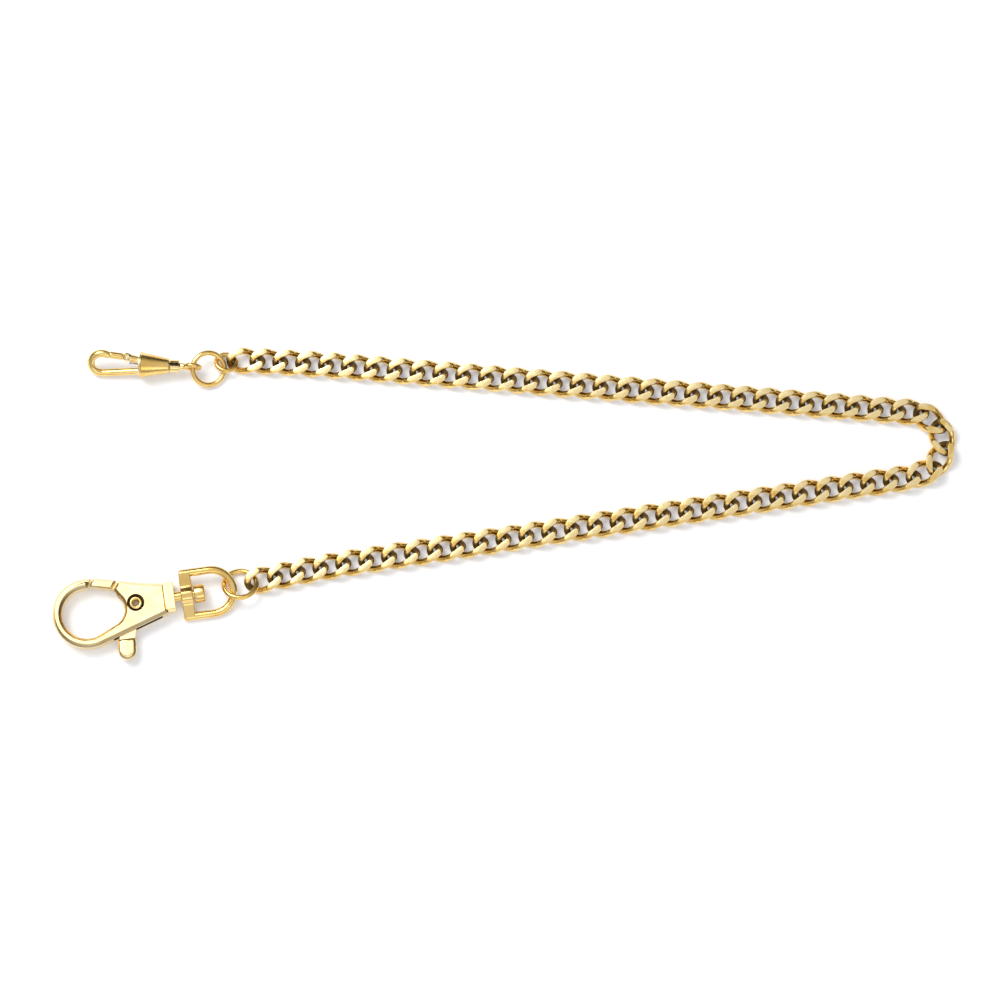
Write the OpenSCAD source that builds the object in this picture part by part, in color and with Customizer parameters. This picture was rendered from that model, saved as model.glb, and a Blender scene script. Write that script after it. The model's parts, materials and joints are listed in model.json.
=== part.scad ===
// Pocket watch chain: a curb chain with a trigger snap at one end and a watch swivel at the other.
// Lying flat and folded back on itself. Millimetres. X runs along the chain, Z is up, the floor is z = 0.

/* [Curb links] */
// diameter of the link wire
wire_d = 1.37; // [1.3:0.01:1.38]
// half the link's length, centre to end wire
half_len = 3.35; // [3.3:0.01:3.4]
// half the link's width, centre to side wire
half_wid = 2.04; // [2:0.01:2.06]
// slope of the end wires out of the flat, degrees
end_tilt = 50; // [49:1:51]
// slope of the side wires out of the flat, degrees
side_tilt = 45; // [44:1:46]
// distance from link to link
pitch = 4.71; // [4.69:0.01:4.72]
// height the links are filed flat to
flat_t = 2.4; // [2.2:0.1:2.6]

/* [Lie of the chain] */
// where the first link lies, along and across
first_link = [-49.32, -15.76];
// first link's lift off the flat, where it hangs in its ring
first_lift = 0.18; // [0.1:0.02:0.24]
// direction of the lower run, degrees
lower_run = 8.9; // [8.8:0.1:9]
// direction of the upper run, degrees
upper_run = 175.25; // [175.15:0.05:175.35]

/* [Trigger snap] */
// where the rivet stands, along and across
clasp_at = [-75.09, -20.98];
// direction of the snap, degrees
clasp_turn = 8; // [7.6:0.1:8.2]
// thickness of the snap's body
body_t = 3.6; // [3.4:0.1:3.6]
// height of the swivel's axis
axis_z = 2.0; // [1.98:0.01:2.02]
// inner radius of the hook's loop
hook_in_r = 5.2; // [5.1:0.05:5.3]
// width of the hook's bar
hook_bar = 1.9; // [1.8:0.05:2]
// thickness of the trigger plate
trigger_t = 1.2; // [1:0.05:1.25]
// width of the slot the trigger swings in
slot_t = 1.5; // [1.45:0.05:1.6]
// roll of the swivel eye on its pin, degrees
eye_roll = 15.4; // [15.2:0.1:15.6]

/* [Rings] */
// where the snap's ring lies, along and across
clasp_ring_at = [-54.07, -16.83];
// where the watch swivel's ring lies, along and across
clip_ring_at = [-61.09, 28.31];
// where the small ring lies, along and across
end_link_at = [-57.5, 29.81];
// radius of the two big rings, to the middle of the wire
ring_r = 3.3; // [3.28:0.01:3.32]
// wire of the big rings
ring_wire = 1.06; // [1:0.01:1.08]
// radius of the small ring, to the middle of the wire
small_r = 2.05; // [2.04:0.01:2.07]
// wire of the small ring
small_wire = 1.0; // [0.96:0.01:1.02]

/* [Watch swivel] */
// where the swivel's eye stands, along and across
clip_at = [-64.37, 28.55];
// direction of the swivel, degrees
clip_turn = -2.5; // [-3:0.1:-2]
// height of the swivel's axis
clip_z = 2.75; // [2.7:0.01:2.8]
// roll of the bow about the swivel's axis, degrees
bow_roll = 47; // [44:1:48]
// radius of the bow's round end
bow_r = 2.35; // [2.3:0.01:2.36]
// wire of the bow
bow_wire = 1.55; // [1.5:0.01:1.56]

/* [Hidden] */
$fn = 64;
seam_step = 0.03;
lap = 0.1;
thin_d = wire_d - seam_step;
link_z = flat_t / 2;
fold_turns = [8, 23, 62.5, 102, 141.5, 176];
start_bend = [13, 12.3, 11.4, 10.3];
end_bend = [176, 176.8, 177.5, 178.4];
gold = [0.86, 0.66, 0.28];
pale_gold = [0.93, 0.78, 0.42];

// ---------- the curb link: a closed wire of eight arcs, half of them a hair thinner ----------

function unit(v) = v / norm(v);
function across(v, t) = unit(v - (v * t) * t);

end_point = [half_len, 0, 0];
end_dir = [0, cos(end_tilt), -sin(end_tilt)];
side_point = [0, half_wid, 0];
side_dir = [-cos(side_tilt), 0, sin(side_tilt)];
span = side_point - end_point;
qa = 2 * (end_dir * side_dir - 1);
qb = -2 * (span * (end_dir + side_dir));
qc = span * span;
leg = (-qb - sqrt(qb * qb - 4 * qa * qc)) / (2 * qa);
meet = (end_point + leg * end_dir + side_point - leg * side_dir) / 2;

// a round wire along the arc that leaves p in direction t and reaches q
module bent_wire(p, t, q, d, over_len) {
  v = q - p;
  n = across(v, t);
  r = (v * v) / (2 * (v * n));
  c = p + r * n;
  swing = atan2(v * t, r - v * n);
  z = cross(-n, t);
  over = over_len / r * 180 / PI;
  multmatrix([[-n[0], t[0], z[0], c[0]], [-n[1], t[1], z[1], c[1]], [-n[2], t[2], z[2], c[2]], [0, 0, 0, 1]])
    rotate([0, 0, -over])
      rotate_extrude(angle = swing + 2 * over)
        translate([r, 0])
          circle(d = d);
}

// the thinner arc runs a little way into its thicker neighbour, so the two always cross cleanly
module quarter_link(end_is_thick) {
  bent_wire(end_point, end_dir, meet, end_is_thick ? wire_d : thin_d, end_is_thick ? 0 : lap);
  bent_wire(side_point, -side_dir, meet, end_is_thick ? thin_d : wire_d, end_is_thick ? lap : 0);
}

module link_wire() {
  quarter_link(true);
  rotate([180, 0, 0])
    quarter_link(false);
  rotate([0, 180, 0])
    quarter_link(false);
  rotate([0, 0, 180])
    quarter_link(true);
}

// one link, filed flat above and below
module link_shape() {
  intersection() {
    link_wire();
    translate([-5, -4, -flat_t / 2])
      cube([10, 8, flat_t]);
  }
}

// ---------- the lie of the chain: each link turned a little from the one before ----------

function heading(i) =
  i <= 4 ? start_bend[i - 1] :
  i <= 28 ? lower_run :
  i <= 34 ? fold_turns[i - 29] :
  i <= 59 ? upper_run : end_bend[i - 60];
function along(a) = [cos(a), sin(a)];
function centre(i) =
  i == 1 ? first_link : centre(i - 1) + pitch / 2 * (along(heading(i - 1)) + along(heading(i)));

module curb(which) {
  color(gold)
    for (i = which)
      translate([centre(i)[0], centre(i)[1], link_z + (i == 1 ? first_lift : 0)])
        rotate([0, 0, heading(i)])
          link_shape();
}

// ---------- shared shapes ----------

// two circles and the straight sides between them
module belt(a, ra, b, rb) {
  d = b - a;
  turn = atan2(d[1], d[0]);
  open = acos((ra - rb) / norm(d));
  in_a = ra - 0.004;
  in_b = rb - 0.004;
  translate(a)
    circle(r = ra);
  translate(b)
    circle(r = rb);
  polygon([
    a + in_a * along(turn + open),
    a + in_a * along(turn - open),
    b + in_b * along(turn - open),
    b + in_b * along(turn + open)
  ]);
}

// cuts the edge from p to q at height z back by c
module edge_cut(p, q, z, c) {
  d = q - p;
  s = c * sqrt(2);
  translate([p[0], p[1], z])
    rotate([0, 0, atan2(d[1], d[0])])
      rotate([45, 0, 0])
        translate([-1, -s / 2, -s / 2])
          cube([norm(d) + 2, s, s]);
}

module wire_ring(r, d) {
  rotate_extrude()
    translate([r, 0])
      circle(d = d);
}

// a ring lying at an angle: tipped up by tip towards compass direction way
module laid_ring(at, r, d, tip, way) {
  translate(at)
    rotate(a = tip, v = [sin(way), -cos(way), 0])
      wire_ring(r, d);
}

// a rod along +X from x0 to x1
module rod(x0, x1, r) {
  translate([x0, 0, 0])
    rotate([0, 90, 0])
      cylinder(r = r, h = x1 - x0);
}

// ---------- trigger snap: its own frame has the rivet at 0, 0 and the swivel along +X ----------

body_low = axis_z - body_t / 2;
body_top = axis_z + body_t / 2;
bevel = 0.45;
plate_bevel = 0.4;
axis_y = 0.45;
loop_at = [-10, -0.75];
loop_mid = hook_in_r + hook_bar / 2;
throat_at = [-5.95, -0.6];
throat_r = 3.6;
low_left = [-8.78, -7.73];
low_right = [6.3, -2.89];
top_left = [-2.9, 5];
top_right = [6.3, 3.25];
gate_reach = 10.2;
tip_gap = 0.22;
hub_r = 2.6;
collar_x = [6.1, 7.9];
block_x = [9.25, 11.65];
head_x = [11.95, 14.1];
eye_half = 4.45;
eye_wire = 1.6;
eye_bend_x = 15.45;
pin_r = 1.0;
rivet_r = 1.05;
rivet_hole_r = 0.62;
well_r = 1.78;
well_depth = 0.45;

module in_clasp() {
  translate([clasp_at[0], clasp_at[1], 0])
    rotate([0, 0, clasp_turn])
      children();
}

module on_clasp_axis() {
  in_clasp()
    translate([0, axis_y, axis_z])
      children();
}

module hook_loop() {
  w = hook_bar / 2;
  h = body_t / 2;
  translate([loop_at[0], loop_at[1], axis_z])
    rotate([0, 0, 66])
      rotate_extrude(angle = 238)
        translate([loop_mid, 0])
          polygon([
            [-w + bevel, -h], [w - bevel, -h], [w, -h + bevel], [w, h - bevel],
            [w - bevel, h], [-w + bevel, h], [-w, h - bevel], [-w, -h + bevel]
          ]);
}

module body_plate() {
  difference() {
    translate([0, 0, body_low])
      linear_extrude(body_t)
        polygon([low_left, low_right, top_right, top_left, [-4.3, 3.1], [-4.5, -2], [-8.9, -5]]);
    for (z = [body_low, body_top]) {
      edge_cut(low_left, low_right, z, plate_bevel);
      edge_cut(top_left, top_right, z, plate_bevel);
    }
    translate([0, 0, -1])
      linear_extrude(body_top + 2)
        belt(loop_at, hook_in_r - 0.02, throat_at, throat_r);
  }
}

module collar() {
  intersection() {
    translate([0, axis_y, axis_z])
      rod(collar_x[0], collar_x[1], 3.15);
    translate([collar_x[0] - 1, -4, body_low + 0.1])
      cube([4, 10, body_t - 0.2]);
  }
}

// where the trigger plate swings inside the body
module slot() {
  translate([0, 0, axis_z - slot_t / 2])
    linear_extrude(slot_t) {
      circle(r = 3.3);
      polygon([[0, 0], [-2.2, -1], [-2.7, -2.8], [-4.4, -5.2], [-7.2, -9.5], [9, -9.5], [9, -6]]);
      polygon([[0, 0], [-1.5, 7], [-8, 7], [-9.5, -0.5]]);
    }
}

module rivet_seat() {
  translate([0, 0, body_low - 1])
    cylinder(r = rivet_r + 0.05, h = body_t + 2);
  translate([0, 0, body_top - well_depth])
    cylinder(r = well_r, h = 1);
  translate([0, 0, body_low + well_depth - 1])
    cylinder(r = well_r, h = 1);
}

module clasp_body() {
  color(pale_gold)
    in_clasp()
      difference() {
        union() {
          difference() {
            hook_loop();
            intersection() {
              translate([0, 0, -1])
                cylinder(r = gate_reach + tip_gap, h = 8);
              translate([-10.5, 2.5, -1])
                cube([8, 8, 8]);
            }
          }
          body_plate();
          collar();
        }
        slot();
        rivet_seat();
        translate([0, axis_y, axis_z])
          rod(4.6, 9, pin_r + 0.03);
      }
}

// the gate bar outside, the thin plate on the rivet, and the thumb tab, all one casting
module clasp_trigger() {
  gate_t = 3;
  tab_t = 2.2;
  color(pale_gold)
    in_clasp()
      difference() {
        union() {
          translate([0, 0, axis_z - trigger_t / 2])
            linear_extrude(trigger_t) {
              circle(r = hub_r);
              polygon([[-0.5, 2.5], [-3.5, 5], [-8.1, 5.9], [-8.4, 4.95], [-4.7, 3.85], [-2.4, 0.9]]);
              polygon([[-2.2, -1.2], [-2.4, -2.8], [-4.05, -5.3], [-4.55, -8.2], [-1.1, -8.2], [-0.45, -4.5], [0.7, -2.45]]);
            }
          difference() {
            translate([0, 0, axis_z - gate_t / 2])
              linear_extrude(gate_t)
                polygon([[-7.95, 6.25], [-8.66, 5.36], [-8.9, 4.6], [-4.55, 3.55], [-3.4, 5.15]]);
            edge_cut([-7.95, 6.25], [-3.4, 5.15], axis_z + gate_t / 2, 0.4);
            edge_cut([-7.95, 6.25], [-3.4, 5.15], axis_z - gate_t / 2, 0.4);
            edge_cut([-8.9, 4.6], [-4.55, 3.55], axis_z + gate_t / 2, 0.3);
            edge_cut([-8.9, 4.6], [-4.55, 3.55], axis_z - gate_t / 2, 0.3);
          }
          translate([0, 0, axis_z - tab_t / 2])
            linear_extrude(tab_t)
              belt([-2.75, -8.1], 1.86, [-2.93, -9.35], 1.9);
        }
        translate([0, 0, -1])
          cylinder(r = rivet_r + 0.15, h = 8);
      }
}

// a tubular rivet with a turned-out lip at each end
module clasp_rivet() {
  low = body_low + 0.1;
  high = body_top - 0.1;
  color(gold)
    in_clasp()
      difference() {
        union() {
          translate([0, 0, low])
            cylinder(r = rivet_r, h = high - low);
          translate([0, 0, low])
            cylinder(r = 1.45, h = 0.3);
          translate([0, 0, high - 0.3])
            cylinder(r = 1.45, h = 0.3);
        }
        translate([0, 0, low - 1])
          cylinder(r = rivet_hole_r, h = high - low + 2);
      }
}

// the leaf that holds the trigger shut, curled round behind its hub
module clasp_spring() {
  color(gold)
    in_clasp()
      translate([0, 0, axis_z - 0.5])
        rotate([0, 0, -38])
          rotate_extrude(angle = 118)
            translate([2.86, 0])
              square([0.25, 1]);
}

module clasp_swivel_pin() {
  color(gold)
    on_clasp_axis() {
      rod(4.7, head_x[0] + 0.2, pin_r);
      rod(head_x[0], head_x[1], 1.85);
    }
}

// a crossbar with a boss round the pin, and the bail bent from wire
module clasp_swivel_eye() {
  bar_half = 4.2;
  bar_z = 0.85;
  boss_r = 1.95;
  color(gold)
    on_clasp_axis()
      rotate([eye_roll, 0, 0])
        difference() {
          union() {
            difference() {
              translate([block_x[0], -bar_half, -bar_z])
                cube([block_x[1] - block_x[0], 2 * bar_half, 2 * bar_z]);
              for (x = block_x)
                for (z = [-bar_z, bar_z])
                  translate([x, 0, z])
                    rotate([0, 45, 0])
                      cube([0.4, 12, 0.4], center = true);
            }
            rod(block_x[0] + 0.05, block_x[1] - 0.05, boss_r);
            for (side = [-1, 1])
              translate([0, side * eye_half, 0])
                rod(block_x[0] + 0.1, eye_bend_x, eye_wire / 2);
            translate([eye_bend_x, 0, 0])
              rotate([0, 0, -91.3])
                rotate_extrude(angle = 182.6)
                  translate([eye_half, 0])
                    circle(d = eye_wire - 0.04);
          }
          rod(block_x[0] - 1, block_x[1] + 1, pin_r + 0.15);
        }
}

module clasp_ring() {
  color(gold)
    laid_ring([clasp_ring_at[0], clasp_ring_at[1], 1.9], ring_r, ring_wire, 24.4, -90);
}

// ---------- watch swivel: its own frame has the eye at 0 and the ferrule and bow towards -X ----------

mouth_x = -10.75;
ferrule_end = -4.7;
plug_r = 2.0;
bow_end_x = -18.47;
gate_pivot = [-13.4, 1.72];
gate_pin_r = 0.3;
bow_tip_r = 4.2;

module in_clip() {
  translate([clip_at[0], clip_at[1], clip_z])
    rotate([0, 0, clip_turn])
      children();
}

module in_bow() {
  in_clip()
    rotate([bow_roll, 0, 0])
      children();
}

// a tapered sleeve with a rim round its mouth
module clip_ferrule() {
  color(gold)
    in_clip()
      difference() {
        union() {
          translate([mouth_x + 0.3, 0, 0])
            rotate([0, 90, 0])
              cylinder(r1 = 2.6, r2 = 1.45, h = ferrule_end - mouth_x - 0.3);
          rod(mouth_x, mouth_x + 0.4, 2.7);
        }
        rod(mouth_x - 1, -9.3, plug_r + 0.03);
        rod(-9.4, -7.5, 1.3);
        rod(-7.6, ferrule_end + 1, 0.9);
      }
}

// a wire run straight from a to b in the plane of the bow
module bow_rod(a, b, d) {
  v = b - a;
  translate([a[0], a[1], 0])
    rotate([0, 0, atan2(v[1], v[0])])
      rod(0, norm(v), d / 2);
}

module clip_hook() {
  arm_slope = 6.2;
  arm_at = [bow_end_x, 0] + bow_r * along(270 + arm_slope) - 0.1 * along(arm_slope);
  color(gold)
    in_bow()
      difference() {
        union() {
          rod(-11.05, -9.4, plug_r);
          difference() {
            translate([bow_end_x, 0, 0])
              rotate([0, 0, 58])
                rotate_extrude(angle = 270 + arm_slope - 58)
                  translate([bow_r, 0])
                    circle(d = bow_wire);
            translate([gate_pivot[0], gate_pivot[1], -3])
              cylinder(r = bow_tip_r, h = 6);
          }
          bow_rod(arm_at, [-10.85, -1.54], bow_wire - 0.03);
          bow_rod(gate_pivot + [-0.1, 0.01], [-10.85, 1.1], 1.42);
          translate([gate_pivot[0], gate_pivot[1], -0.72])
            cylinder(r = 0.66, h = 1.44);
        }
        translate([gate_pivot[0] - 1.5, gate_pivot[1] - 1.5, -0.4])
          cube([2.3, 3, 0.8]);
        translate([gate_pivot[0], gate_pivot[1], -2])
          cylinder(r = gate_pin_r + 0.02, h = 4);
      }
}

// the gate closes the bow from the pin to the hook's tip
module clip_gate() {
  color(gold)
    in_bow()
      difference() {
        union() {
          intersection() {
            bow_rod([-17.9, 2.24], [-14.25, 1.82], 1.4);
            translate([gate_pivot[0], gate_pivot[1], -3])
              cylinder(r = bow_tip_r - 0.2, h = 6);
          }
          translate([-14.6, 1.3, -0.3])
            cube([1.25, 0.98, 0.6]);
          translate([gate_pivot[0], gate_pivot[1], -0.3])
            cylinder(r = 0.6, h = 0.6);
        }
        translate([gate_pivot[0], gate_pivot[1], -2])
          cylinder(r = gate_pin_r + 0.1, h = 4);
      }
}

module clip_gate_pin() {
  color(pale_gold)
    in_bow()
      translate([gate_pivot[0], gate_pivot[1], -0.8])
        cylinder(r = gate_pin_r, h = 1.6);
}

// a flat leaf along the root of the gate
module clip_gate_spring() {
  color(pale_gold)
    in_bow()
      translate([-12.95, 0.32, -0.35])
        rotate([0, 0, -4])
          cube([1.8, 0.18, 0.7]);
}

module clip_swivel_eye() {
  color(gold)
    in_clip()
      difference() {
        union() {
          rotate([90, 0, 0])
            wire_ring(1.45, 1.0);
          rod(-7.9, -1.45, 0.75);
          rod(-4.55, -2.7, 1.32);
          rod(-9.1, -7.7, 1.1);
        }
        translate([-4.6, -0.25, 0.45])
          cube([2.1, 0.5, 1.2]);
        rotate([90, 0, 0])
          translate([0, 0, -2])
            cylinder(r = 0.93, h = 4);
      }
}

module clip_ring() {
  color(gold)
    laid_ring([clip_ring_at[0], clip_ring_at[1], 2.06], ring_r, ring_wire, 22.3, 129);
}

module clip_end_link() {
  color(gold)
    laid_ring([end_link_at[0], end_link_at[1], 1.45], small_r, small_wire, -24.2, 73);
}

// ---------- the curb links, one by one or in twos ----------

module link_01() { curb([1]); }
module link_02() { curb([2]); }
module link_03() { curb([3]); }
module link_04() { curb([4]); }
module links_05_06() { curb([5, 6]); }
module links_07_08() { curb([7, 8]); }
module links_09_10() { curb([9, 10]); }
module links_11_12() { curb([11, 12]); }
module links_13_14() { curb([13, 14]); }
module links_15_16() { curb([15, 16]); }
module links_17_18() { curb([17, 18]); }
module links_19_20() { curb([19, 20]); }
module links_21_22() { curb([21, 22]); }
module links_23_24() { curb([23, 24]); }
module link_25() { curb([25]); }
module link_26() { curb([26]); }
module link_27() { curb([27]); }
module link_28() { curb([28]); }
module link_29() { curb([29]); }
module link_30() { curb([30]); }
module link_31() { curb([31]); }
module link_32() { curb([32]); }
module link_33() { curb([33]); }
module link_34() { curb([34]); }
module link_35() { curb([35]); }
module link_36() { curb([36]); }
module link_37() { curb([37]); }
module link_38() { curb([38]); }
module links_39_40() { curb([39, 40]); }
module links_41_42() { curb([41, 42]); }
module links_43_44() { curb([43, 44]); }
module links_45_46() { curb([45, 46]); }
module links_47_48() { curb([47, 48]); }
module links_49_50() { curb([49, 50]); }
module links_51_52() { curb([51, 52]); }
module links_53_54() { curb([53, 54]); }
module links_55_56() { curb([55, 56]); }
module links_57_58() { curb([57, 58]); }
module link_59() { curb([59]); }
module link_60() { curb([60]); }
module link_61() { curb([61]); }
module link_62() { curb([62]); }
module link_63() { curb([63]); }

clasp_body();
clasp_trigger();
clasp_rivet();
clasp_spring();
clasp_swivel_pin();
clasp_swivel_eye();
clasp_ring();
clip_hook();
clip_gate();
clip_gate_pin();
clip_gate_spring();
clip_ferrule();
clip_swivel_eye();
clip_ring();
clip_end_link();
link_01();
link_02();
link_03();
link_04();
links_05_06();
links_07_08();
links_09_10();
links_11_12();
links_13_14();
links_15_16();
links_17_18();
links_19_20();
links_21_22();
links_23_24();
link_25();
link_26();
link_27();
link_28();
link_29();
link_30();
link_31();
link_32();
link_33();
link_34();
link_35();
link_36();
link_37();
link_38();
links_39_40();
links_41_42();
links_43_44();
links_45_46();
links_47_48();
links_49_50();
links_51_52();
links_53_54();
links_55_56();
links_57_58();
link_59();
link_60();
link_61();
link_62();
link_63();
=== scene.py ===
import json
import math

import bmesh
import bpy
from mathutils import Matrix, Vector


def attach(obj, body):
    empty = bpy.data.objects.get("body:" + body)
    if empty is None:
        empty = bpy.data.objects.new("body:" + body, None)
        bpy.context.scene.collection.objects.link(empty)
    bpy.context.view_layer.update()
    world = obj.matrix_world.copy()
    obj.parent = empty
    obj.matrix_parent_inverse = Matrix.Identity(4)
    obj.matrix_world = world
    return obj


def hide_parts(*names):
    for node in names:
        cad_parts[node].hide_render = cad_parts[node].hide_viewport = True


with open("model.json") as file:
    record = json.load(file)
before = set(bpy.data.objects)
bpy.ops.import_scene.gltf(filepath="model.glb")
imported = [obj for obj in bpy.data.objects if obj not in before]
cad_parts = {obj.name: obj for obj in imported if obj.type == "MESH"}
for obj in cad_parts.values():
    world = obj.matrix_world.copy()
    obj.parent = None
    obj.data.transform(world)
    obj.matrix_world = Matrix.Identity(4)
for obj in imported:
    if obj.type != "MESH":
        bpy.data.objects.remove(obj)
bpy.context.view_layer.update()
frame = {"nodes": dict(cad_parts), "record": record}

MM = 0.001
SHARP_ANGLE = math.radians(34)

# ---------- the chain's driving sizes, in millimetres and degrees, as the CAD has them ----------

WIRE_D = 1.37
HALF_LEN = 3.35
HALF_WID = 2.04
END_TILT = 50
SIDE_TILT = 45
PITCH = 4.71
FLAT_T = 2.4
FIRST_LINK = (-49.32, -15.76)
FIRST_LIFT = 0.18
START_BEND = [13, 12.3, 11.4, 10.3]
LOWER_RUN = [8.9] * 24
FOLD_TURNS = [8, 23, 62.5, 102, 141.5, 176]
UPPER_RUN = [175.25] * 25
END_BEND = [176, 176.8, 177.5, 178.4]
HEADINGS = START_BEND + LOWER_RUN + FOLD_TURNS + UPPER_RUN + END_BEND

CLASP_AT = (-75.09, -20.98)
CLASP_TURN = 8
AXIS_Z = 2.0
AXIS_Y = 0.45
BODY_T = 3.6
EYE_ROLL = 15.4

RING_R = 3.3
RING_WIRE = 1.06
CLASP_RING_AT = (-54.07, -16.83, 1.9)
CLIP_RING_AT = (-61.09, 28.31, 2.06)
END_RING_AT = (-57.5, 29.81, 1.45)
END_RING_R = 2.05
END_RING_WIRE = 1.0

CLIP_AT = (-64.37, 28.55, 2.75)
CLIP_TURN = -2.5
BOW_ROLL = 47


# ---------- places ----------


def placed(x, y, z, turn):
    """A frame at x, y, z in millimetres, turned about Z by degrees."""
    return Matrix.Translation((x * MM, y * MM, z * MM)) @ Matrix.Rotation(math.radians(turn), 4, "Z")


CLASP = placed(CLASP_AT[0], CLASP_AT[1], 0, CLASP_TURN)
CLASP_AXIS = CLASP @ Matrix.Translation((0, AXIS_Y * MM, AXIS_Z * MM))
SWIVEL_EYE = CLASP_AXIS @ Matrix.Rotation(math.radians(EYE_ROLL), 4, "X")
CLIP = placed(*CLIP_AT, CLIP_TURN)
BOW = CLIP @ Matrix.Rotation(math.radians(BOW_ROLL), 4, "X")


def laid(at, tip, way):
    """A ring's frame: tipped up by tip degrees towards compass direction way."""
    axis = Vector((math.sin(math.radians(way)), -math.cos(math.radians(way)), 0))
    return Matrix.Translation(Vector(at) * MM) @ Matrix.Rotation(math.radians(tip), 4, axis)


def along(degrees):
    return Vector((math.cos(math.radians(degrees)), math.sin(math.radians(degrees)), 0))


def link_frames():
    """Each link's frame, stepping half a pitch along the last heading and half along the next."""
    centre = Vector((*FIRST_LINK, 0))
    frames = []
    for i, heading in enumerate(HEADINGS):
        if i > 0:
            centre = centre + PITCH / 2 * (along(HEADINGS[i - 1]) + along(heading))
        lift = FIRST_LIFT if i == 0 else 0
        frames.append(placed(centre.x, centre.y, FLAT_T / 2 + lift, heading))
    return frames


# ---------- mesh making, in millimetres ----------


def ring_frames(points, closed, up):
    """Tangent, side and upright vectors at each point of a path."""
    count = len(points)
    out = []
    for i, p in enumerate(points):
        before = points[i - 1] if closed or i > 0 else p
        after = points[(i + 1) % count] if closed or i < count - 1 else p
        t = (after - before).normalized()
        guide = up(i, p)
        n = (guide - guide.dot(t) * t).normalized()
        out.append((t, n, t.cross(n)))
    return out


def sweep(bm, points, radius, sides, closed=False, up=None):
    """A round wire of one radius along points; an open one gets domed ends."""
    if up is None:
        middle = sum(points, Vector()) / len(points)
        up = lambda i, p: p - middle
    frames = ring_frames(points, closed, up)
    rings = []
    dome = (15, 35, 55, 75)
    flatness = 0.5

    def ring(centre, n, b, r):
        turns = [2 * math.pi * k / sides for k in range(sides)]
        return [bm.verts.new(centre + r * (math.cos(a) * n + math.sin(a) * b)) for a in turns]

    if not closed:
        t, n, b = frames[0]
        for a in dome:
            back = math.radians(a)
            centre = points[0] - t * radius * flatness * math.cos(back)
            rings.append(ring(centre, n, b, radius * math.sin(back)))
    for i, (t, n, b) in enumerate(frames):
        rings.append(ring(points[i], n, b, radius))
    if not closed:
        t, n, b = frames[-1]
        for a in reversed(dome):
            front = math.radians(a)
            centre = points[-1] + t * radius * flatness * math.cos(front)
            rings.append(ring(centre, n, b, radius * math.sin(front)))
    pairs = list(zip(rings, rings[1:] + (rings[:1] if closed else [])))
    for one, two in pairs:
        for k in range(sides):
            j = (k + 1) % sides
            bm.faces.new((one[k], one[j], two[j], two[k]))
    if not closed:
        bm.faces.new(list(reversed(rings[0])))
        bm.faces.new(rings[-1])


def lathe(bm, profile, sides=64, axis="X"):
    """A turned solid from (along, radius) pairs; a radius of 0 closes it on the axis."""
    rings = []
    for x, r in profile:
        turns = [2 * math.pi * k / sides for k in range(sides)]
        if axis == "X":
            rings.append([bm.verts.new((x, r * math.cos(a), r * math.sin(a))) for a in turns])
        else:
            rings.append([bm.verts.new((r * math.cos(a), r * math.sin(a), x)) for a in turns])
    for one, two in zip(rings, rings[1:]):
        for k in range(sides):
            j = (k + 1) % sides
            bm.faces.new((one[k], one[j], two[j], two[k]))
    bmesh.ops.remove_doubles(bm, verts=bm.verts, dist=1e-5)
    bmesh.ops.recalc_face_normals(bm, faces=bm.faces)


def arc(centre, radius, start, end, steps):
    """Points on a circle from one angle to another, both ends included."""
    turns = [math.radians(start + (end - start) * k / steps) for k in range(steps + 1)]
    return [Vector((centre[0] + radius * math.cos(a), centre[1] + radius * math.sin(a))) for a in turns]


def rounded(points, radius, steps=4, closed=True):
    """A polyline with its corners rounded; radius is one number, or a list of one for each corner."""
    count = len(points)
    radii = radius if isinstance(radius, (list, tuple)) else [radius] * count
    out = []
    for i, p in enumerate(points):
        p = Vector(p)
        if radii[i] <= 0 or (not closed and i in (0, count - 1)):
            out.append(p)
            continue
        a = (Vector(points[i - 1]) - p).normalized()
        b = (Vector(points[(i + 1) % count]) - p).normalized()
        half = a.angle(b) / 2
        reach = radii[i] / math.tan(half)
        for k in range(steps + 1):
            f = k / steps
            # a quadratic curve from one side of the corner to the other
            out.append((1 - f) ** 2 * (p + a * reach) + 2 * f * (1 - f) * p + f ** 2 * (p + b * reach))
    return out


def inset(outline, depth):
    """The outline moved inwards by depth; it runs anticlockwise."""
    count = len(outline)
    out = []
    for i, p in enumerate(outline):
        a = (p - outline[i - 1]).normalized()
        b = (outline[(i + 1) % count] - p).normalized()
        na = Vector((-a.y, a.x))
        nb = Vector((-b.y, b.x))
        n = (na + nb).normalized()
        out.append(p + n * depth / max(n.dot(na), 0.5))
    return out


def edge_profile(half, bevel, rounding):
    """(inset, height) pairs up a plate's side: a bevel at each edge, its corners rounded."""
    flat = bevel + rounding * 1.2
    low = [(flat, -half), (bevel, -half), (0, -half + bevel)]
    high = [(x, -z) for x, z in reversed(low)]
    return rounded(low + high, [0, rounding, rounding, rounding, rounding, 0], 3, closed=False)


def plate(bm, outline, low, high, bevel, rounding=0.1):
    """A flat piece cut to outline, its edges bevelled and softened."""
    middle = (low + high) / 2
    rings = []
    for depth, z in edge_profile((high - low) / 2, bevel, rounding):
        rings.append([bm.verts.new((p.x, p.y, middle + z)) for p in inset(outline, depth)])
    for one, two in zip(rings, rings[1:]):
        for k in range(len(outline)):
            j = (k + 1) % len(outline)
            bm.faces.new((one[k], one[j], two[j], two[k]))
    bm.faces.new(list(reversed(rings[0])))
    bm.faces.new(rings[-1])


def solid(build, *args, **words):
    """A mesh built by build(bm, ...)."""
    bm = bmesh.new()
    build(bm, *args, **words)
    bmesh.ops.recalc_face_normals(bm, faces=bm.faces)
    mesh = bpy.data.meshes.new("solid")
    bm.to_mesh(mesh)
    bm.free()
    return mesh


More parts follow.
